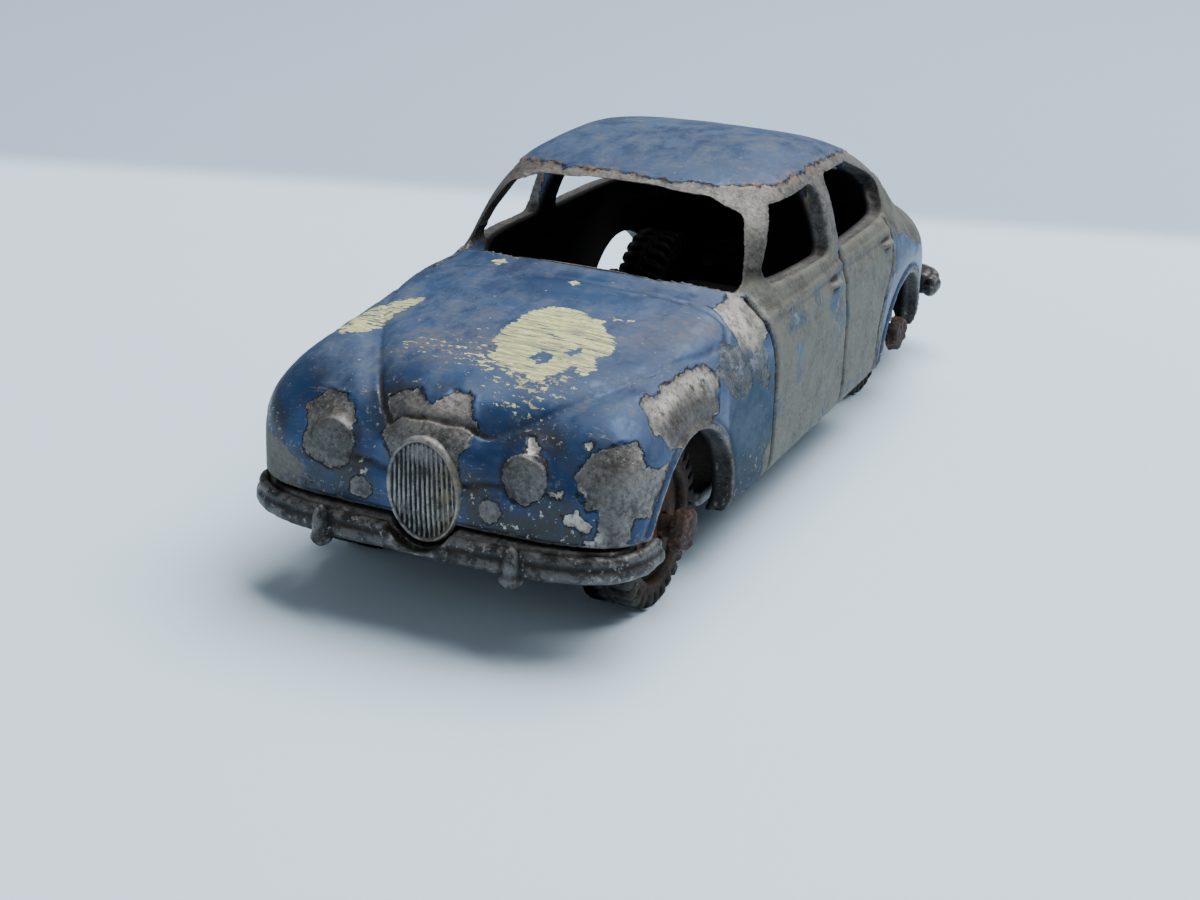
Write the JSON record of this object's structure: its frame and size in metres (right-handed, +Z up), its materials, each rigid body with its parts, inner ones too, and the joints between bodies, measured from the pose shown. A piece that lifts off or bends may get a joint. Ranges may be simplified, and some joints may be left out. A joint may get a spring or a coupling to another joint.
{
  "type": "diecast toy saloon car",
  "caption": "Small play-worn diecast toy saloon: hollow rounded body casting with open windows, riveted base with bumpers, moulded wheels that turn freely on steel axles.",
  "frame": {"origin": "on the ground, under the centre of the overall length and width, level with the bottom of the wheels", "axes": "+Z up; the nose points along -Y; +X is the car's left side"},
  "size_m": [0.0226, 0.0616, 0.0195],
  "materials": {
    "worn_enamel": "chipped blue enamel over grey zinc",
    "bare_zinc": "dark tarnished bare zinc casting",
    "rusted_steel": "rusted",
    "wheel_plastic": "worn, rust-stained"
  },
  "bodies": {
    "shell": {"body_casting": "worn_enamel", "baseplate": "bare_zinc"},
    "front_axle": {"front_axle": "rusted_steel"},
    "rear_axle": {"rear_axle": "rusted_steel"},
    "front_left_wheel": {"front_left_wheel": "wheel_plastic"},
    "front_right_wheel": {"front_right_wheel": "wheel_plastic"},
    "rear_left_wheel": {"rear_left_wheel": "wheel_plastic"},
    "rear_right_wheel": {"rear_right_wheel": "wheel_plastic"}
  },
  "joints": [
    {"name": "front_axle_spin", "type": "hinge", "parent": "shell", "child": "front_axle", "pos_m": [0, -0.021, 0.0045], "axis": [1, 0, 0], "continuous": true},
    {"name": "front_left_wheel_spin", "type": "hinge", "parent": "front_axle", "child": "front_left_wheel", "pos_m": [0.0078, -0.021, 0.0045], "axis": [1, 0, 0], "continuous": true},
    {"name": "front_right_wheel_spin", "type": "hinge", "parent": "front_axle", "child": "front_right_wheel", "pos_m": [-0.0078, -0.021, 0.0045], "axis": [1, 0, 0], "continuous": true},
    {"name": "rear_axle_spin", "type": "hinge", "parent": "shell", "child": "rear_axle", "pos_m": [0, 0.0162, 0.0045], "axis": [1, 0, 0], "continuous": true},
    {"name": "rear_left_wheel_spin", "type": "hinge", "parent": "rear_axle", "child": "rear_left_wheel", "pos_m": [0.007, 0.0162, 0.0045], "axis": [1, 0, 0], "continuous": true},
    {"name": "rear_right_wheel_spin", "type": "hinge", "parent": "rear_axle", "child": "rear_right_wheel", "pos_m": [-0.007, 0.0162, 0.0045], "axis": [1, 0, 0], "continuous": true}
  ]
}
